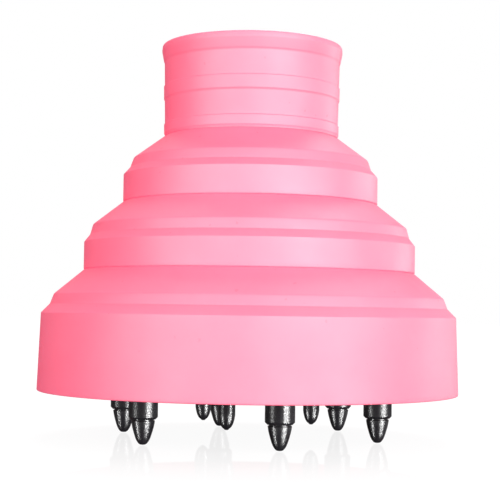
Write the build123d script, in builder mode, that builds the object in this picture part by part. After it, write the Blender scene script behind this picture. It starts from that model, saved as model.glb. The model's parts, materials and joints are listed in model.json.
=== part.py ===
from build123d import *

import os
from math import cos, isclose, radians, sin

# A collapsible hair-dryer diffuser. A silicone bell steps out from a ribbed neck,
# which grips the dryer's barrel, over two rings to a wide rim. The rim holds a
# perforated hard disc, and nine fingers stand down from the disc into the hair.
# The three thin webs between the tiers fold, so that the bell collapses.
#
# Millimetres, +Z up. The origin is on the bell's axis, level with the tips of the
# outer fingers. Outlines are lists of (radius, height) turned about Z.

# --- Bell: tiers and webs ------------------------------------------------------

WALL = 2.6  # wall of the neck, the rings and the rim
SHOULDER_WALL_DROP = 1.0  # the wall's inside corner lies this far below its shoulder
WEB_INSET = 2.0  # a web measured level; its slope makes that about 1.2 thick

# Each tier: foot of its wall, shoulder above it, and the corner its web hinges on
RIM_FOOT, RIM_SHOULDER, RIM_HINGE = (77.5, 17.1), (76.5, 45.2), (73.3, 48.5)
MIDDLE_FOOT, MIDDLE_SHOULDER, MIDDLE_HINGE = (61.35, 61.3), (61.35, 71.3), (59.2, 74.1)
UPPER_FOOT, UPPER_SHOULDER, UPPER_HINGE = (47.35, 86.6), (47.35, 96.6), (45.0, 99.2)
NECK_FOOT = (32.3, 111.5)

# Each web rises steeply from its hinge to a crest, then slopes in to the next foot
LOWER_CREST = (71.95, 52.1)
MIDDLE_CREST = (58.2, 77.8)
UPPER_CREST = (43.75, 102.8)

# --- Neck ----------------------------------------------------------------------

NECK_TOP = 145.5  # overall height
NECK_BORE_R = NECK_FOOT[0] - WALL
NECK_DRAFT = 0.0185  # the neck widens by this much per millimetre of height
BAND_PROUD = 0.3  # relief of the raised bands
BANDS = ((112.15, 115.8), (125.1, 130.0))  # lower and upper edge of each band
LIP_BOTTOM = 139.35
LIP_WIDEST = (33.84, 143.4)
LIP_ROUND = (33.64, 144.75)  # on the arc that closes the lip's outer edge
LIP_FLAT_R = (31.4, 32.9)  # flat ring on top of the lip
LIP_LEAD_IN = 1.4  # depth of the bevel that guides the barrel in
FIN_R = 22.0  # the fins' inner edge: a 44 mm bore that stretches over the barrel
FIN_THICK = 1.6
FIN_ROOT = 0.5  # how far a fin runs into the neck's wall
FIN_HEIGHTS = (114.0, 127.5, 140.5)  # middle of each fin

# --- Disc and the channel that holds it ----------------------------------------

DISC_R = 74.2
DISC_THICK = 2.6
DISC_BOTTOM = 22.9
CHANNEL_R = 74.4  # inside of the rim's wall
CHANNEL_PLAY = 0.1  # above and below the disc's edge
KEEPER_R = 72.0  # both keeper lips reach in to here
KEEPER_THICK = 1.8
DOME_RISE = 4.5
DOME_R = (32.0, 40.0)  # the raised middle's flat ends and its slope ends
VENT_R = 2.4
RIM_VENTS_R, RIM_VENTS_COUNT = 62.5, 36  # the outermost ring of vents
OUTER_VENT_STEPS = (15.0, 25.0, 35.0, 45.0)  # degrees on from each outer finger
INNER_VENT_STEPS = (24.0, 42.0, 60.0, 78.0, 96.0)  # degrees on from each inner finger
DEFLECTOR_R = 13.0  # the middle is closed, and thicker, to spread the jet
DEFLECTOR_RISE = 1.2

# --- Fingers -------------------------------------------------------------------

OUTER_CIRCLE_R = 49.2
OUTER_COUNT = 6
OUTER_START = -90.0
OUTER_COLLAR_R = 5.1
OUTER_COLLAR_END = 8.8
OUTER_TIP_R = 4.1
OUTER_NOSE_LENGTH = 7.9

INNER_CIRCLE_R = 24.7
INNER_COUNT = 3
INNER_START = 0.0
INNER_COLLAR_R = 4.2
INNER_COLLAR_END = 20.0
INNER_TIP_R = 3.05
INNER_TIP_Z = 4.6
INNER_NOSE_LENGTH = 5.2

NOSE_WAIST = 0.79  # half way up its nose, a tip is this part of its full radius
NIPPLE = (0.8, 0.45)  # radius and height of the point on an inner tip
SEAT_R = 0.9  # in the shadow gap a finger is this part of its tip's radius

COLLAR_CHAMFER = 0.8
COLLAR_FILLET = 0.8
SHADOW_GAP = 0.45  # groove between a collar's end and the shoulder below it
OUTER_STEM_R = 3.0
INNER_STEM_R = 2.2
STEM_PLAY = 0.05
BARB_PROUD = 0.5  # the barb's lip, beyond the stem
BARB_HEIGHT = 2.2
BARB_SLOT = (0.9, 5.0)  # width and depth of the slot that lets the barb flex


def inset(point, distance=WEB_INSET):
    """The point moved towards the axis."""
    return (point[0] - distance, point[1])


def neck_radius(height):
    """Radius of the neck's plain surface, between its bands."""
    return NECK_FOOT[0] + NECK_DRAFT * (height - NECK_FOOT[1])


# --- Neck collar: lip, two bands and three grip fins ----------------------------

neck_outline = [NECK_FOOT]
for band_bottom, band_top in BANDS:
    neck_outline += [
        (neck_radius(band_bottom), band_bottom),
        (neck_radius(band_bottom) + BAND_PROUD, band_bottom),
        (neck_radius(band_top) + BAND_PROUD, band_top),
        (neck_radius(band_top), band_top + BAND_PROUD),
    ]
neck_outline += [
    (neck_radius(LIP_BOTTOM), LIP_BOTTOM),
    (neck_radius(LIP_BOTTOM) + BAND_PROUD, LIP_BOTTOM),
    LIP_WIDEST,
]

with BuildPart() as neck_collar:
    with BuildSketch(Plane.XZ):
        with BuildLine():
            Polyline(neck_outline)
            ThreePointArc(LIP_WIDEST, LIP_ROUND, (LIP_FLAT_R[1], NECK_TOP))
            Polyline(
                (LIP_FLAT_R[1], NECK_TOP),
                (LIP_FLAT_R[0], NECK_TOP),
                (NECK_BORE_R, NECK_TOP - LIP_LEAD_IN),
                (NECK_BORE_R, NECK_FOOT[1]),
                NECK_FOOT,
            )
        make_face()
        fin_length = NECK_BORE_R - FIN_R + FIN_ROOT
        with Locations(*[(FIN_R + fin_length / 2, z) for z in FIN_HEIGHTS]):
            Rectangle(fin_length, FIN_THICK)
    revolve(axis=Axis.Z)


# --- Rings: a straight wall with a sloping shoulder -----------------------------


def ring(foot, shoulder, hinge):
    """One tier of the bell, from the foot of its wall up to its web's hinge."""
    with BuildPart() as tier:
        with BuildSketch(Plane.XZ):
            with BuildLine():
                Polyline(
                    foot,
                    shoulder,
                    hinge,
                    inset(hinge),
                    (shoulder[0] - WALL, shoulder[1] - SHOULDER_WALL_DROP),
                    inset(foot, WALL),
                    close=True,
                )
            make_face()
        revolve(axis=Axis.Z)
    return tier.part


upper_ring = ring(UPPER_FOOT, UPPER_SHOULDER, UPPER_HINGE)
middle_ring = ring(MIDDLE_FOOT, MIDDLE_SHOULDER, MIDDLE_HINGE)


# --- Webs: the thin walls that turn inside out when a tier is pushed in ----------


def web(hinge, crest, foot):
    """The folding wall from one tier's hinge corner up to the next tier's foot."""
    with BuildPart() as fold:
        with BuildSketch(Plane.XZ):
            with BuildLine():
                Polyline(
                    hinge,
                    crest,
                    foot,
                    inset(foot),
                    inset(crest),
                    inset(hinge),
                    close=True,
                )
            make_face()
        revolve(axis=Axis.Z)
    return fold.part


upper_web = web(UPPER_HINGE, UPPER_CREST, NECK_FOOT)
middle_web = web(MIDDLE_HINGE, MIDDLE_CREST, UPPER_FOOT)
lower_web = web(RIM_HINGE, LOWER_CREST, MIDDLE_FOOT)


# --- Rim band: the widest tier, with a channel for the disc's edge ---------------

lower_keeper_top = DISC_BOTTOM - CHANNEL_PLAY
upper_keeper_bottom = DISC_BOTTOM + DISC_THICK + CHANNEL_PLAY

with BuildPart() as rim_band:
    with BuildSketch(Plane.XZ):
        with BuildLine():
            Polyline(
                RIM_FOOT,
                RIM_SHOULDER,
                RIM_HINGE,
                inset(RIM_HINGE),
                (RIM_SHOULDER[0] - WALL, RIM_SHOULDER[1] - SHOULDER_WALL_DROP),
                (CHANNEL_R, upper_keeper_bottom + 2 * KEEPER_THICK),
                (KEEPER_R, upper_keeper_bottom + KEEPER_THICK),
                (KEEPER_R, upper_keeper_bottom),
                (CHANNEL_R, upper_keeper_bottom),
                (CHANNEL_R, lower_keeper_top),
                (KEEPER_R, lower_keeper_top),
                (KEEPER_R, lower_keeper_top - KEEPER_THICK),
                (CHANNEL_R, lower_keeper_top - 2 * KEEPER_THICK),
                (RIM_FOOT[0] - WALL, RIM_FOOT[1]),
                close=True,
            )
        make_face()
    revolve(axis=Axis.Z)


# --- Diffuser disc: a vented plate, raised in the middle, with nine collars -------

disc_top = DISC_BOTTOM + DISC_THICK
dome_bottom = DISC_BOTTOM + DOME_RISE
dome_top = dome_bottom + DISC_THICK


def on_circle(radius, angle):
    """The point at that radius and angle in degrees."""
    return radius * cos(radians(angle)), radius * sin(radians(angle))


def finger_angles(start, count):
    """The angles of a circle of fingers."""
    return [start + i * 360 / count for i in range(count)]


outer_angles = finger_angles(OUTER_START, OUTER_COUNT)
inner_angles = finger_angles(INNER_START, INNER_COUNT)
vents = [on_circle(RIM_VENTS_R, i * 360 / RIM_VENTS_COUNT) for i in range(RIM_VENTS_COUNT)]
vents += [on_circle(OUTER_CIRCLE_R, a + step) for a in outer_angles for step in OUTER_VENT_STEPS]
vents += [on_circle(INNER_CIRCLE_R, a + step) for a in inner_angles for step in INNER_VENT_STEPS]

with BuildPart() as diffuser_disc:
    with BuildSketch(Plane.XZ):
        with BuildLine():
            Polyline(
                (0, dome_bottom),
                (DOME_R[0], dome_bottom),
                (DOME_R[1], DISC_BOTTOM),
                (DISC_R, DISC_BOTTOM),
                (DISC_R, disc_top),
                (DOME_R[1], disc_top),
                (DOME_R[0], dome_top),
                (DEFLECTOR_R, dome_top),
                (0, dome_top + DEFLECTOR_RISE),
                close=True,
            )
        make_face()
    revolve(axis=Axis.Z)

    # Collars that stand down from the plate, then their roots and their ends
    with BuildSketch(Plane.XY.offset(OUTER_COLLAR_END)):
        with PolarLocations(OUTER_CIRCLE_R, OUTER_COUNT, start_angle=OUTER_START):
            Circle(OUTER_COLLAR_R)
    extrude(amount=disc_top - OUTER_COLLAR_END - DISC_THICK / 2)
    with BuildSketch(Plane.XY.offset(INNER_COLLAR_END)):
        with PolarLocations(INNER_CIRCLE_R, INNER_COUNT, start_angle=INNER_START):
            Circle(INNER_COLLAR_R)
    extrude(amount=dome_top - INNER_COLLAR_END - DISC_THICK / 2)

    round_edges = edges().filter_by(GeomType.CIRCLE)
    outer_edges = round_edges.filter_by(lambda e: isclose(e.radius, OUTER_COLLAR_R))
    inner_edges = round_edges.filter_by(lambda e: isclose(e.radius, INNER_COLLAR_R))
    outer_ends, outer_roots = outer_edges.group_by(Axis.Z)[0], outer_edges.group_by(Axis.Z)[-1]
    fillet(outer_roots + inner_edges.group_by(Axis.Z)[-1], radius=COLLAR_FILLET)
    chamfer(outer_ends, length=COLLAR_CHAMFER)

    # Bores for the stems, and the vents
    with BuildSketch(Plane.XY):
        with PolarLocations(OUTER_CIRCLE_R, OUTER_COUNT, start_angle=OUTER_START):
            Circle(OUTER_STEM_R + STEM_PLAY)
        with PolarLocations(INNER_CIRCLE_R, INNER_COUNT, start_angle=INNER_START):
            Circle(INNER_STEM_R + STEM_PLAY)
        with Locations(*vents):
            Circle(VENT_R)
    extrude(amount=dome_top + DEFLECTOR_RISE, mode=Mode.SUBTRACT)


# --- Fingers: a rounded tip, a stem through the collar, and a slotted barb --------


def finger(circle_r, angle, tip_r, tip_z, nose_length, collar_end, stem_r, plate_top, nipple):
    """One finger, at that place on its circle: a rounded nose, a straight body up to
    a shadow gap under the collar, and a stem through the collar and the plate."""
    x, y = on_circle(circle_r, angle)
    axis = Axis((x, y, 0), (0, 0, 1))
    radial = Vector(x, y, 0).normalized()
    upright = Plane(origin=(x, y, 0), x_dir=radial, z_dir=radial.cross(Vector(0, 0, 1)))
    nose_top = (tip_r, tip_z + nose_length)
    nose_middle = (NOSE_WAIST * tip_r, tip_z + nose_length / 2)
    shoulder_z = collar_end - SHADOW_GAP
    barb_z = plate_top + STEM_PLAY
    barb_top = barb_z + BARB_HEIGHT
    with BuildPart() as piece:
        with BuildSketch(upright):
            with BuildLine():
                if nipple:
                    nose_start = (NIPPLE[0], tip_z + NIPPLE[1])
                    Line((0, tip_z), nose_start)
                else:
                    nose_start = (0, tip_z)
                Spline(nose_start, nose_middle, nose_top, tangents=((1, 0), (0, 1)))
                Polyline(
                    nose_top,
                    (tip_r, shoulder_z),
                    (SEAT_R * tip_r, shoulder_z),
                    (SEAT_R * tip_r, collar_end),
                    (stem_r, collar_end),
                    (stem_r, barb_z),
                    (stem_r + BARB_PROUD, barb_z),
                    (stem_r - BARB_PROUD, barb_top),
                    (0, barb_top),
                    (0, tip_z),
                )
            make_face()
        revolve(axis=axis)
        with BuildSketch(Plane(origin=(x, y, barb_top), x_dir=radial, z_dir=(0, 0, 1))):
            Rectangle(4 * stem_r, BARB_SLOT[0])
        extrude(amount=-BARB_SLOT[1], mode=Mode.SUBTRACT)
    return piece.part


parts = {
    "neck_collar": neck_collar.part,
    "upper_web": upper_web,
    "upper_ring": upper_ring,
    "middle_web": middle_web,
    "middle_ring": middle_ring,
    "lower_web": lower_web,
    "rim_band": rim_band.part,
    "diffuser_disc": diffuser_disc.part,
}
for number, angle in enumerate(outer_angles, 1):
    parts[f"outer_finger_{number}"] = finger(
        OUTER_CIRCLE_R,
        angle,
        OUTER_TIP_R,
        0.0,
        OUTER_NOSE_LENGTH,
        OUTER_COLLAR_END,
        OUTER_STEM_R,
        disc_top,
        nipple=False,
    )
for number, angle in enumerate(inner_angles, 1):
    parts[f"inner_finger_{number}"] = finger(
        INNER_CIRCLE_R,
        angle,
        INNER_TIP_R,
        INNER_TIP_Z,
        INNER_NOSE_LENGTH,
        INNER_COLLAR_END,
        INNER_STEM_R,
        dome_top,
        nipple=True,
    )

os.makedirs("parts", exist_ok=True)
for name, part in parts.items():
    part.label = name
    export_step(part, f"parts/{name}.step")
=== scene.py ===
import json
from math import atan2, cos, pi, radians, sin, tan

import bmesh
import bpy
from mathutils import Matrix, Vector

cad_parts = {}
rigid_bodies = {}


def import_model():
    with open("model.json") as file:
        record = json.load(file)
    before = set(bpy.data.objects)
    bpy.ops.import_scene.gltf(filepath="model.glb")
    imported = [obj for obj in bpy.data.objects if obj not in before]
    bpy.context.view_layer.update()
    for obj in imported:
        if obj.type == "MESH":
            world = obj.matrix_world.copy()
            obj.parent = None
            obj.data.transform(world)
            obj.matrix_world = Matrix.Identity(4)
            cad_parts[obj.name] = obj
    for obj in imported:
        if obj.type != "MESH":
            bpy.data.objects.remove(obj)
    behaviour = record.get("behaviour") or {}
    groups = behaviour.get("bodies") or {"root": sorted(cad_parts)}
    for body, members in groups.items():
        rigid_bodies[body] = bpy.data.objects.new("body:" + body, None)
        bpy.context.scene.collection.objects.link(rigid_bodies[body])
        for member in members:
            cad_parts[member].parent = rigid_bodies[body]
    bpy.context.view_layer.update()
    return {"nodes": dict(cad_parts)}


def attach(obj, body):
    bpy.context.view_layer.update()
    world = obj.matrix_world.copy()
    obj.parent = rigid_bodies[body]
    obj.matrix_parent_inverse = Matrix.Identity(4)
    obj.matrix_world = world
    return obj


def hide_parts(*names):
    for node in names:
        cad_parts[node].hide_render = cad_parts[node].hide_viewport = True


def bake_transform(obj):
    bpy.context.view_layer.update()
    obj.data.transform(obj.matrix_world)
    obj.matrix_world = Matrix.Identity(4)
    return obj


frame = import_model()

# A folding silicone dryer diffuser: a pink bell over a vented disc with nine fingers.
#
# Lengths in outlines are in millimetres, as (radius, height) about the bell's axis.
# Everything handed to Blender is in metres.

MM = 0.001

# --- Sizes of the bell, as in the CAD ---------------------------------------------

WALL = 2.6
SHOULDER_WALL_DROP = 1.0
WEB_INSET = 2.0

RIM_FOOT, RIM_SHOULDER, RIM_HINGE = (77.5, 17.1), (76.5, 45.2), (73.3, 48.5)
MIDDLE_FOOT, MIDDLE_SHOULDER, MIDDLE_HINGE = (61.35, 61.3), (61.35, 71.3), (59.2, 74.1)
UPPER_FOOT, UPPER_SHOULDER, UPPER_HINGE = (47.35, 86.6), (47.35, 96.6), (45.0, 99.2)
NECK_FOOT = (32.3, 111.5)
LOWER_CREST, MIDDLE_CREST, UPPER_CREST = (71.95, 52.1), (58.2, 77.8), (43.75, 102.8)

NECK_TOP = 145.5
NECK_BORE_R = NECK_FOOT[0] - WALL
NECK_DRAFT = 0.0185
BAND_PROUD = 0.3
BANDS = ((112.15, 115.8), (125.1, 130.0))
LIP_BOTTOM = 139.35
LIP_WIDEST = (33.84, 143.4)
LIP_OUTER_R, LIP_INNER_R = 33.64, 31.4  # of the lip's flat top
LIP_LEAD_IN = 1.4
FIN_R = 22.0
FIN_THICK = 1.6
FIN_HEIGHTS = (114.0, 127.5, 140.5)

# The disc's edge sits in a channel between two keepers, each flat and then sloping out
KEEPER_R, CHANNEL_R = 72.0, 74.4
CHANNEL_TOP, CHANNEL_BOTTOM = 25.6, 22.8
KEEPER_FLAT = KEEPER_SLOPE = 1.8

# --- Moulded detail that the CAD leaves sharp ---------------------------------------

SHOULDER_FILLET = 0.45
EDGE_FILLET = 0.35
BAND_FILLET = 0.14
LIP_SIDE_FILLET, LIP_OUTER_FILLET, LIP_INNER_FILLET = 2.0, 0.78, 0.4
CREST_FILLETS = {"lower": 1.6, "middle": 1.4, "upper": 1.4}
FOOT_NOTCH = 0.35  # the web meets the wall above it this far inside the wall's face
# Depth of the groove under a band or the lip, and height of the groove and slope together
GROOVE_DEPTH, GROOVE_HEIGHT = 0.03, 0.7

# --- Sizes of the fingers ------------------------------------------------------------

OUTER_CIRCLE_R, OUTER_COUNT, OUTER_START = 49.2, 6, -90.0
INNER_CIRCLE_R, INNER_COUNT, INNER_START = 24.7, 3, 0.0
OUTER_NOSE = (
    (0.0, 0.0), (0.95, 0.1), (1.72, 0.75), (2.5, 2.1), (3.25, 4.35), (3.8, 6.4), (4.1, 8.1)
)
INNER_POINT = ((0.0, 0.0), (0.45, 0.03), (0.75, 0.16))
INNER_NOSE = ((1.0, 0.5), (1.5, 0.85), (2.0, 1.55), (2.4, 2.4), (2.8, 3.8), (3.05, 5.2))
INNER_TIP_Z = 4.6
OUTER_PLATE_TOP, INNER_PLATE_TOP = 25.5, 30.0
OUTER_COLLAR_END, INNER_COLLAR_END = 8.8, 20.0
OUTER_STEM_R, INNER_STEM_R = 3.0, 2.2
SHADOW_GAP = 0.45
SEAT_SHARE = 0.9
STEM_PLAY = 0.05
BARB_PROUD, BARB_HEIGHT = 0.5, 2.2
SLOT_WIDTH, SLOT_DEPTH, SLOT_LENGTH = 0.9, 5.0, 12.0
SEAT_CLEARANCE = CUT_OVERSHOOT = 0.01
SHOULDER_EDGE_FILLET = 0.12
BARB_FILLET, BARB_TOP_FILLET = 0.1, 0.2

# --- Fineness of the meshes -------------------------------------------------------------

ARC_STEPS = 6
BELL_SEGMENTS, FINGER_SEGMENTS = 256, 64
TIER_STEP, WEB_STEP, FINGER_STEP = 1.2, 0.6, 1.0  # length of an outline's pieces
SHARP_ANGLE = radians(32)


# --- Outlines -----------------------------------------------------------------------


def arc(corner, before, after, fillet):
    """Points that round a corner off with that radius."""
    corner, before, after = Vector(corner), Vector(before), Vector(after)
    back, on = (before - corner).normalized(), (after - corner).normalized()
    half = back.angle(on) / 2
    centre = corner + (back + on).normalized() * fillet / sin(half)
    start = corner + back * fillet / tan(half) - centre
    end = corner + on * fillet / tan(half) - centre
    first = atan2(start.y, start.x)
    turn = (atan2(end.y, end.x) - first + pi) % (2 * pi) - pi
    angles = [first + turn * i / ARC_STEPS for i in range(ARC_STEPS + 1)]
    return [(centre.x + fillet * cos(a), centre.y + fillet * sin(a)) for a in angles]


def rounded(corners):
    """The outline through (radius, height) corners. A third number rounds a corner off."""
    points = []
    for i, corner in enumerate(corners):
        if len(corner) == 3:
            before, after = corners[i - 1][:2], corners[(i + 1) % len(corners)][:2]
            points += arc(corner[:2], before, after, corner[2])
        else:
            points.append(corner)
    return points


def divided(points, step, closed=True):
    """The same outline with its long edges cut into steps of about that length."""
    finer = []
    last = len(points) if closed else len(points) - 1
    for i in range(last):
        a, b = Vector(points[i]), Vector(points[(i + 1) % len(points)])
        cuts = max(1, round((b - a).length / step))
        finer += [tuple(a.lerp(b, k / cuts)) for k in range(cuts)]
    if not closed:
        finer.append(points[-1])
    return finer


def smooth_through(points, steps=5):
    """A curve through the points, which leaves and arrives along the end chords."""
    ends = [Vector(points[0]) * 2 - Vector(points[1])]
    ends += [Vector(p) for p in points]
    ends += [Vector(points[-1]) * 2 - Vector(points[-2])]
    curve = []
    for a, b, c, d in zip(ends, ends[1:], ends[2:], ends[3:]):
        for k in range(steps):
            t = k / steps
            p = 2 * b + (c - a) * t + (2 * a - 5 * b + 4 * c - d) * t * t
            curve.append(tuple((p + (3 * b - a - 3 * c + d) * t**3) / 2))
    return curve + [points[-1]]


# --- Meshes -------------------------------------------------------------------------


def lathe(name, outline, segments, centre=(0.0, 0.0), closed=True):
    """Turns an outline about an upright axis. An open outline starts and ends on it."""
    mesh = bmesh.new()
    rows = []
    for r, z in outline:
        if r == 0.0:
            rows.append([mesh.verts.new((centre[0] * MM, centre[1] * MM, z * MM))] * segments)
            continue
        row = []
        for j in range(segments):
            a = 2 * pi * j / segments
            x, y = centre[0] + r * cos(a), centre[1] + r * sin(a)
            row.append(mesh.verts.new((x * MM, y * MM, z * MM)))
        rows.append(row)
    pairs = list(zip(rows, rows[1:])) + ([(rows[-1], rows[0])] if closed else [])
    for low, high in pairs:
        for j in range(segments):
            k = (j + 1) % segments
            corners = list(dict.fromkeys((low[j], low[k], high[k], high[j])))
            mesh.faces.new(corners)
    bmesh.ops.recalc_face_normals(mesh, faces=mesh.faces)
    return made_object(name, mesh)


def made_object(name, mesh):
    """A named object with that mesh, shaded smooth but for its real edges."""
    data = bpy.data.meshes.new(name)
    mesh.to_mesh(data)
    mesh.free()
    data.shade_smooth()
    data.set_sharp_from_angle(angle=SHARP_ANGLE)
    piece = bpy.data.objects.new(name, data)
    bpy.context.scene.collection.objects.link(piece)
    return piece


def cut(piece, cutter):
    """Takes the cutter's shape out of the piece, and removes the cutter."""
    modifier = piece.modifiers.new("cut", "BOOLEAN")
    modifier.operation, modifier.solver, modifier.object = "DIFFERENCE", "EXACT", cutter
    graph = bpy.context.evaluated_depsgraph_get()
    data = bpy.data.meshes.new_from_object(piece.evaluated_get(graph))
    piece.modifiers.clear()
    piece.data = data
    data.set_sharp_from_angle(angle=SHARP_ANGLE)
    bpy.data.objects.remove(cutter)


def dress(piece, body, node, material):
    """Paints a piece, puts it on its body, and lets it stand for its CAD node."""
    piece.data.materials.clear()
    piece.data.materials.append(material)
    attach(piece, body)
    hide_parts(node)


# --- Material building blocks ---------------------------------------------------------


class Nodes:
    """A material and short ways to add nodes to it."""

    def __init__(self, name):
        self.material = bpy.data.materials.new(name)
        self.material.use_nodes = True
        self.tree = self.material.node_tree
        self.shader = self.tree.nodes["Principled BSDF"]
        self.place = self.add("ShaderNodeTexCoord").outputs["Object"]

    def add(self, kind, **settings):
        node = self.tree.nodes.new(kind)
        for key, value in settings.items():
            setattr(node, key, value)
        return node

    def link(self, source, target):
        self.tree.links.new(source, target)

    def set(self, name, value):
        """Sets one of the shader's inputs."""
        self.shader.inputs[name].default_value = value

    def stretched(self, scale):
        """Object coordinates scaled along x, y and z."""
        mapping = self.add("ShaderNodeMapping")
        mapping.inputs["Scale"].default_value = scale
        self.link(self.place, mapping.inputs["Vector"])
        return mapping.outputs["Vector"]

    def noise(self, scale, detail=3.0, roughness=0.55, place=None):
        """Noise with that many cells a metre."""
        node = self.add("ShaderNodeTexNoise")
        node.inputs["Scale"].default_value = scale
        node.inputs["Detail"].default_value = detail
        node.inputs["Roughness"].default_value = roughness
        self.link(place or self.place, node.inputs["Vector"])
        return node.outputs["Fac"]

    def ramp(self, factor, stops):
        """Maps a number to colours, by (position, colour) stops."""
        node = self.add("ShaderNodeValToRGB")
        band = node.color_ramp
        while len(band.elements) < len(stops):
            band.elements.new(0.5)
        for element, (position, colour) in zip(band.elements, stops):
            element.position = position
            element.color = (*colour, 1.0)
        self.link(factor, node.inputs["Fac"])
        return node.outputs["Color"]

    def spread(self, factor, low, high, from_low=0.3, from_high=0.7):
        """Maps a number to a range."""
        node = self.add("ShaderNodeMapRange")
        node.inputs["From Min"].default_value = from_low
        node.inputs["From Max"].default_value = from_high
        node.inputs["To Min"].default_value = low
        node.inputs["To Max"].default_value = high
        self.link(factor, node.inputs["Value"])
        return node.outputs["Result"]

    def mixed(self, factor, a, b):
        """Blends two colours, given as sockets or as plain colours."""
        node = self.add("ShaderNodeMix", data_type="RGBA")
        self.link(factor, node.inputs["Factor"])
        for value, socket in ((a, node.inputs[6]), (b, node.inputs[7])):
            if isinstance(value, tuple):
                socket.default_value = (*value, 1.0)
            else:
                self.link(value, socket)
        return node.outputs[2]

    def bump(self, height, distance, strength, under=None):
        """Adds relief of that many metres to the surface."""
        node = self.add("ShaderNodeBump")
        node.inputs["Distance"].default_value = distance
        node.inputs["Strength"].default_value = strength
        self.link(height, node.inputs["Height"])
        if under:
            self.link(under, node.inputs["Normal"])
        return node.outputs["Normal"]


# --- Materials --------------------------------------------------------------------------


PINK, PALE_PINK, SPECK_PINK = (0.98, 0.185, 0.29), (1.0, 0.215, 0.32), (0.75, 0.1, 0.17)
SILICONE_ROUGHNESS = (0.50, 0.58)
SILICONE_IOR = 1.72
# Painted light: a weak red glow over all the silicone, which brightens its shade
SILICONE_PAINTED_GLOW, SILICONE_PAINTED_GLOW_STRENGTH = (1.0, 0.0, 0.1), 0.32
SCATTER_SHARE, SCATTER_COLOUR, SCATTER_DEPTH = 0.2, (1.0, 0.2, 0.25), 0.006

BLACK, DARK_GREY = (0.003, 0.003, 0.0035), (0.006, 0.0055, 0.007)
DISC_ROUGHNESS, FINGER_ROUGHNESS = 0.27, 0.25
GRAIN_HEIGHT = 0.00003

# Cells a metre of the noises: colour blotches, waves in the skin, and fine grain
SILICONE_NOISES = {"blotches": 22.0, "specks": 420.0, "gloss": 60.0, "waves": 130.0, "grain": 2600.0}
PLASTIC_NOISES = {"clouds": 90.0, "gloss": 3600.0, "grain": 4200.0}
STREAKS = (14.0, 14.0, 900.0)  # fine rings round the bell, as left by its mould


def pink_silicone():
    """Matte translucent silicone with a hazy skin, faint mould streaks and a few specks.

    Its weak red glow is painted light: it stands for the light that a thin wall lets through, and
    lifts the shaded sides to a brighter red."""
    m = Nodes("pink_silicone")
    noises = SILICONE_NOISES
    blotches = m.noise(noises["blotches"], detail=4.0)
    colour = m.ramp(blotches, ((0.3, PINK), (0.7, PALE_PINK)))
    specks = m.spread(m.noise(noises["specks"], detail=1.0), 0.0, 0.5, 0.76, 0.80)
    colour = m.mixed(specks, colour, SPECK_PINK)
    m.link(colour, m.shader.inputs["Base Color"])
    rough = m.spread(m.noise(noises["gloss"]), *SILICONE_ROUGHNESS)
    m.link(rough, m.shader.inputs["Roughness"])

    streaks = m.noise(1.0, detail=2.0, place=m.stretched(STREAKS))
    relief = m.bump(streaks, distance=0.00004, strength=0.35)
    waves = m.noise(noises["waves"], detail=2.0)
    relief = m.bump(waves, distance=0.0002, strength=0.12, under=relief)
    grain = m.noise(noises["grain"], detail=2.0)
    relief = m.bump(grain, distance=0.00003, strength=0.3, under=relief)
    m.link(relief, m.shader.inputs["Normal"])

    m.set("IOR", SILICONE_IOR)
    m.set("Specular IOR Level", 1.0)
    # Painted light: the red glow is emission, not a colour the silicone has
    m.set("Emission Color", (*SILICONE_PAINTED_GLOW, 1.0))
    m.set("Emission Strength", SILICONE_PAINTED_GLOW_STRENGTH)
    m.set("Subsurface Weight", SCATTER_SHARE)
    m.set("Subsurface Radius", SCATTER_COLOUR)
    m.set("Subsurface Scale", SCATTER_DEPTH)
    return m.material


def black_plastic(name, roughness):
    """Black moulded plastic with faint cloudiness and a fine grain."""
    m = Nodes(name)
    clouds = m.noise(PLASTIC_NOISES["clouds"], detail=4.0)
    m.link(m.ramp(clouds, ((0.3, BLACK), (0.7, DARK_GREY))), m.shader.inputs["Base Color"])
    gloss = m.noise(PLASTIC_NOISES["gloss"])
    rough = m.spread(gloss, roughness - 0.05, roughness + 0.06)
    m.link(rough, m.shader.inputs["Roughness"])
    grain = m.noise(PLASTIC_NOISES["grain"], detail=2.0)
    m.link(m.bump(grain, GRAIN_HEIGHT, strength=0.8), m.shader.inputs["Normal"])
    return m.material


silicone = pink_silicone()
disc_plastic = black_plastic("black_disc_plastic", DISC_ROUGHNESS)
finger_plastic = black_plastic("black_finger_plastic", FINGER_ROUGHNESS)


# --- Bell ----------------------------------------------------------------------------------


def inset(point, distance=WEB_INSET):
    """The point moved towards the axis."""
    return (point[0] - distance, point[1])


def neck_radius(height):
    """Radius of the neck's plain surface, between its bands."""
    return NECK_FOOT[0] + NECK_DRAFT * (height - NECK_FOOT[1])


def groove_and_step(height):
    """Corners of a fine groove, and of the slope out above it, at that height."""
    plain = neck_radius(height)
    return [
        (plain, height - GROOVE_HEIGHT),
        (plain - GROOVE_DEPTH, height - GROOVE_HEIGHT / 2),
        (plain + BAND_PROUD, height + GROOVE_HEIGHT / 2, BAND_FILLET),
    ]


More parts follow.
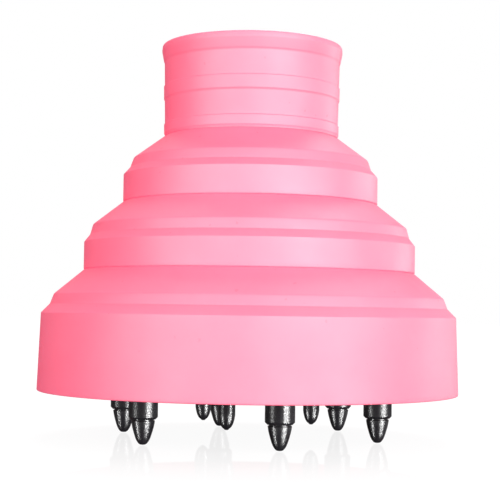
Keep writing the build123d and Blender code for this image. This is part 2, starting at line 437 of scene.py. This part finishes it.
def neck_outline():
    """Outside with its bands and lip, then down the inside with its grip fins."""
    outline = [NECK_FOOT]
    for bottom, top in BANDS:
        outline += groove_and_step(bottom)
        outline += [
            (neck_radius(top) + BAND_PROUD, top, BAND_FILLET),
            (neck_radius(top), top + BAND_PROUD, BAND_FILLET),
        ]
    outline += groove_and_step(LIP_BOTTOM)
    outline += [
        (*LIP_WIDEST, LIP_SIDE_FILLET),
        (LIP_OUTER_R, NECK_TOP, LIP_OUTER_FILLET),
        (LIP_INNER_R, NECK_TOP, LIP_INNER_FILLET),
        (NECK_BORE_R, NECK_TOP - LIP_LEAD_IN, LIP_INNER_FILLET),
    ]
    for height in reversed(FIN_HEIGHTS):
        outline += [
            (NECK_BORE_R, height + FIN_THICK / 2, EDGE_FILLET),
            (FIN_R, height + FIN_THICK / 2, EDGE_FILLET),
            (FIN_R, height - FIN_THICK / 2, EDGE_FILLET),
            (NECK_BORE_R, height - FIN_THICK / 2, EDGE_FILLET),
        ]
    outline.append((NECK_BORE_R, NECK_FOOT[1]))
    return outline


def ring_outline(foot, shoulder, hinge):
    """A straight wall, and the sloping shoulder up to its web's hinge."""
    return [
        (*foot, EDGE_FILLET),
        (*shoulder, SHOULDER_FILLET),
        hinge,
        inset(hinge),
        (shoulder[0] - WALL, shoulder[1] - SHOULDER_WALL_DROP, EDGE_FILLET),
        inset(foot, WALL),
    ]


def web_outline(hinge, crest, foot, fillet):
    """The folding wall from one tier's hinge up to the next tier's foot."""
    return [
        hinge,
        (*crest, fillet),
        inset(foot, FOOT_NOTCH),
        inset(foot),
        (*inset(crest), fillet),
        inset(hinge),
    ]


def rim_outline():
    """The widest tier, with the channel that holds the disc's edge."""
    upper_keeper = [
        (CHANNEL_R, CHANNEL_TOP + KEEPER_FLAT + KEEPER_SLOPE),
        (KEEPER_R, CHANNEL_TOP + KEEPER_FLAT),
        (KEEPER_R, CHANNEL_TOP),
    ]
    lower_keeper = [
        (KEEPER_R, CHANNEL_BOTTOM),
        (KEEPER_R, CHANNEL_BOTTOM - KEEPER_FLAT),
        (CHANNEL_R, CHANNEL_BOTTOM - KEEPER_FLAT - KEEPER_SLOPE),
    ]
    return [
        (*RIM_FOOT, EDGE_FILLET),
        (*RIM_SHOULDER, SHOULDER_FILLET),
        RIM_HINGE,
        inset(RIM_HINGE),
        (RIM_SHOULDER[0] - WALL, RIM_SHOULDER[1] - SHOULDER_WALL_DROP, EDGE_FILLET),
        *upper_keeper,
        (CHANNEL_R, CHANNEL_TOP),
        (CHANNEL_R, CHANNEL_BOTTOM),
        *lower_keeper,
        (RIM_FOOT[0] - WALL, RIM_FOOT[1], EDGE_FILLET),
    ]


def bell_piece(name, corners, step=TIER_STEP):
    """One tier or web of the bell."""
    return lathe(name, divided(rounded(corners), step), BELL_SEGMENTS)


dress(bell_piece("silicone_neck", neck_outline()), "neck", "neck_collar", silicone)
for tier, body, foot, shoulder, hinge in (
    ("upper", "upper_tier", UPPER_FOOT, UPPER_SHOULDER, UPPER_HINGE),
    ("middle", "middle_tier", MIDDLE_FOOT, MIDDLE_SHOULDER, MIDDLE_HINGE),
):
    piece = bell_piece(f"silicone_{tier}_ring", ring_outline(foot, shoulder, hinge))
    dress(piece, body, f"{tier}_ring", silicone)
dress(bell_piece("silicone_rim", rim_outline()), "rim", "rim_band", silicone)

for tier, below, above, hinge, crest, foot in (
    ("upper", "upper_tier", "neck", UPPER_HINGE, UPPER_CREST, NECK_FOOT),
    ("middle", "middle_tier", "upper_tier", MIDDLE_HINGE, MIDDLE_CREST, UPPER_FOOT),
    ("lower", "rim", "middle_tier", RIM_HINGE, LOWER_CREST, MIDDLE_FOOT),
):
    corners = web_outline(hinge, crest, foot, CREST_FILLETS[tier])
    piece = bell_piece(f"silicone_{tier}_web", corners, WEB_STEP)
    piece.data.materials.append(silicone)
    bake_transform(piece)
    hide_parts(f"{tier}_web")


# --- Disc and fingers -----------------------------------------------------------------------

for material_slot in frame["nodes"]["diffuser_disc"].material_slots:
    material_slot.material = disc_plastic


def finger_outline(nose, collar_end, plate_top, stem_r):
    """Nose, shoulder, seat in the shadow gap, stem and barb."""
    tip_r = nose[-1][0]
    shoulder_z = collar_end - SHADOW_GAP
    barb_z = plate_top + STEM_PLAY
    body = [
        (tip_r, shoulder_z, SHOULDER_EDGE_FILLET),
        (SEAT_SHARE * tip_r, shoulder_z),
        (SEAT_SHARE * tip_r, collar_end - SEAT_CLEARANCE),
        (stem_r, collar_end - SEAT_CLEARANCE),
        (stem_r, barb_z),
        (stem_r + BARB_PROUD, barb_z, BARB_FILLET),
        (stem_r - BARB_PROUD, barb_z + BARB_HEIGHT, BARB_TOP_FILLET),
        (0.0, barb_z + BARB_HEIGHT),
    ]
    outline = rounded([nose[-1], *body])[1:]
    return divided(list(nose) + outline, FINGER_STEP, closed=False)


def slot_cutter(centre, angle, top):
    """A box that cuts the slot of a finger's barb."""
    mesh = bmesh.new()
    size = Matrix.Diagonal((SLOT_LENGTH * MM, SLOT_WIDTH * MM, SLOT_DEPTH * MM, 1.0))
    turn = Matrix.Rotation(angle, 4, "Z")
    middle_z = top - SLOT_DEPTH / 2 + CUT_OVERSHOOT
    place = Matrix.Translation(Vector((*centre, middle_z)) * MM)
    bmesh.ops.create_cube(mesh, size=1.0, matrix=place @ turn @ size)
    return made_object("slot_cutter", mesh)


def finger(name, node, nose, circle_r, angle, collar_end, plate_top, stem_r):
    """One finger at its place on its circle."""
    centre = (circle_r * cos(angle), circle_r * sin(angle))
    outline = finger_outline(nose, collar_end, plate_top, stem_r)
    piece = lathe(name, outline, FINGER_SEGMENTS, centre, closed=False)
    cut(piece, slot_cutter(centre, angle, plate_top + STEM_PLAY + BARB_HEIGHT))
    dress(piece, "rim", node, finger_plastic)


outer_nose = smooth_through(OUTER_NOSE)
inner_nose = list(INNER_POINT) + smooth_through(INNER_NOSE)
inner_nose = [(r, z + INNER_TIP_Z) for r, z in inner_nose]

for i in range(OUTER_COUNT):
    turn = radians(OUTER_START + i * 360 / OUTER_COUNT)
    label = f"outer_finger_{i + 1}"
    finger(f"black_{label}", label, outer_nose, OUTER_CIRCLE_R, turn,
           OUTER_COLLAR_END, OUTER_PLATE_TOP, OUTER_STEM_R)
for i in range(INNER_COUNT):
    turn = radians(INNER_START + i * 360 / INNER_COUNT)
    label = f"inner_finger_{i + 1}"
    finger(f"black_{label}", label, inner_nose, INNER_CIRCLE_R, turn,
           INNER_COLLAR_END, INNER_PLATE_TOP, INNER_STEM_R)


# --- Camera -------------------------------------------------------------------------------

CAMERA_DISTANCE = 0.4992
CAMERA_AZIMUTH = radians(-13.0)
CAMERA_HEIGHT = 0.0462
CAMERA_PITCH = radians(2.68)
CAMERA_ROLL = radians(0.85)
CAMERA_YAW = radians(0.022)
CAMERA_LENS = 96.3

camera_data = bpy.data.cameras.new("camera")
camera_data.lens = CAMERA_LENS
camera_data.sensor_width = 36.0
camera_data.clip_start, camera_data.clip_end = 0.01, 20.0
camera = bpy.data.objects.new("camera", camera_data)
bpy.context.scene.collection.objects.link(camera)
bpy.context.scene.camera = camera

out = Vector((sin(CAMERA_AZIMUTH), -cos(CAMERA_AZIMUTH), 0.0))
camera.location = out * CAMERA_DISTANCE + Vector((0.0, 0.0, CAMERA_HEIGHT))
ahead = Matrix.Rotation(-CAMERA_YAW, 3, "Z") @ -out
right = ahead.cross(Vector((0.0, 0.0, 1.0)))
aim = ahead * cos(CAMERA_PITCH) + Vector((0.0, 0.0, 1.0)) * sin(CAMERA_PITCH)
up = right.cross(aim)
rolled_right = right * cos(CAMERA_ROLL) + up * sin(CAMERA_ROLL)
rolled_up = up * cos(CAMERA_ROLL) - right * sin(CAMERA_ROLL)
camera.rotation_euler = Matrix((rolled_right, rolled_up, -aim)).transposed().to_euler()


# --- Lights, floor and surroundings ---------------------------------------------------------

OBJECT_MIDDLE = Vector((0.0, 0.0, 0.07))
FLOOR_RADIUS, FLOOR_DROP = 6.0, 0.0002
AMBIENT = 0.17


def softbox(name, azimuth, elevation, distance, width, height, radiance, only=None):
    """A soft light, placed by its azimuth (0 is -Y, 90 is +X) and elevation in degrees.

    It lights everything, or only the pieces of one collection."""
    data = bpy.data.lights.new(name, "AREA")
    data.shape = "RECTANGLE"
    data.size, data.size_y = width, height
    data.energy = radiance * pi * width * height
    light = bpy.data.objects.new(name, data)
    bpy.context.scene.collection.objects.link(light)
    a, e = radians(azimuth), radians(elevation)
    away = Vector((sin(a) * cos(e), -cos(a) * cos(e), sin(e)))
    light.location = OBJECT_MIDDLE + away * distance
    light.rotation_euler = away.to_track_quat("Z", "Y").to_euler()
    light.visible_camera = False
    if only:
        light.light_linking.receiver_collection = only
    return light


def shines_through_all_but(light, blockers):
    """Lets only those pieces stop the light, so that the floor does not."""
    light.light_linking.blocker_collection = blockers
    light.data.cycles.use_multiple_importance_sampling = False


def floor():
    """A large pale disc under the object, with a faint mirror image near it.

    Its glow makes it as white as the backdrop to the camera, and lights nothing."""
    mesh = bmesh.new()
    place = Matrix.Translation((0.0, 0.0, -FLOOR_DROP))
    bmesh.ops.create_circle(mesh, cap_ends=True, segments=96, radius=FLOOR_RADIUS, matrix=place)
    piece = made_object("floor", mesh)
    m = Nodes("pale_floor")
    near = m.add("ShaderNodeVectorMath", operation="LENGTH")
    m.link(m.place, near.inputs[0])
    distance = near.outputs["Value"]
    paint = m.spread(distance, 0.1, 0.0, from_low=0.3, from_high=1.2)
    m.link(paint, m.shader.inputs["Base Color"])
    m.set("Roughness", 1.0)
    m.set("Specular IOR Level", 0.0)
    m.set("Emission Color", (1.0, 1.0, 1.0, 1.0))
    glow = m.add("ShaderNodeMath", operation="MULTIPLY")
    m.link(m.spread(distance, 0.97, 1.05, from_low=0.15, from_high=1.0), glow.inputs[0])
    m.link(m.add("ShaderNodeLightPath").outputs["Is Camera Ray"], glow.inputs[1])
    m.link(glow.outputs["Value"], m.shader.inputs["Emission Strength"])
    mirror = m.add("ShaderNodeBsdfGlossy")
    mirror.inputs["Roughness"].default_value = 0.0
    mix = m.add("ShaderNodeMixShader")
    m.link(m.spread(distance, 0.15, 0.0, from_low=0.05, from_high=0.19), mix.inputs["Fac"])
    m.link(m.shader.outputs["BSDF"], mix.inputs[1])
    m.link(mirror.outputs["BSDF"], mix.inputs[2])
    m.link(mix.outputs["Shader"], m.tree.nodes["Material Output"].inputs["Surface"])
    piece.data.materials.append(m.material)


floor()

# The black parts have their own upright lights, which give the fingers two highlights each
black_parts = bpy.data.collections.new("black_parts")
pale_parts = bpy.data.collections.new("pale_parts")
for piece in bpy.context.scene.objects:
    is_black = piece.name.startswith("black_") or piece.name == "diffuser_disc"
    (black_parts if is_black else pale_parts).objects.link(piece)

for name, azimuth, elevation, distance, width, height, radiance, only in (
    ("key_right", 24, 12, 1.4, 1.95, 0.84, 5.5, pale_parts),
    ("fill_left", -50, 11, 1.4, 1.45, 0.8, 3.9, pale_parts),
    ("side_right", 105, 2, 1.5, 1.1, 0.76, 4.2, pale_parts),
    ("back_high", 160, 58, 1.5, 1.0, 0.8, 5.5, None),
    ("strip_right", 36, -13, 1.4, 0.95, 1.3, 22.0, black_parts),
    ("strip_left", -74, -25, 1.4, 0.5, 0.9, 13.0, black_parts),
):
    light = softbox(name, azimuth, elevation, distance, width, height, radiance, only)
    if only == black_parts:
        shines_through_all_but(light, black_parts)


def studio():
    """Grey surroundings, which look white to the camera and in the floor's mirror."""
    world = bpy.data.worlds.new("studio")
    bpy.context.scene.world = world
    world.use_nodes = True
    nodes, links = world.node_tree.nodes, world.node_tree.links
    surroundings = nodes["Background"]
    surroundings.inputs["Color"].default_value = (AMBIENT, AMBIENT, AMBIENT, 1.0)
    backdrop = nodes.new("ShaderNodeBackground")
    backdrop.inputs["Color"].default_value = (1.0, 1.0, 1.0, 1.0)
    rays = nodes.new("ShaderNodeLightPath")
    seen = nodes.new("ShaderNodeMath")
    seen.operation = "MAXIMUM"
    links.new(rays.outputs["Is Camera Ray"], seen.inputs[0])
    links.new(rays.outputs["Is Singular Ray"], seen.inputs[1])
    mix = nodes.new("ShaderNodeMixShader")
    links.new(seen.outputs["Value"], mix.inputs["Fac"])
    links.new(surroundings.outputs["Background"], mix.inputs[1])
    links.new(backdrop.outputs["Background"], mix.inputs[2])
    links.new(mix.outputs["Shader"], nodes["World Output"].inputs["Surface"])


studio()

bpy.context.scene.view_settings.view_transform = "Standard"
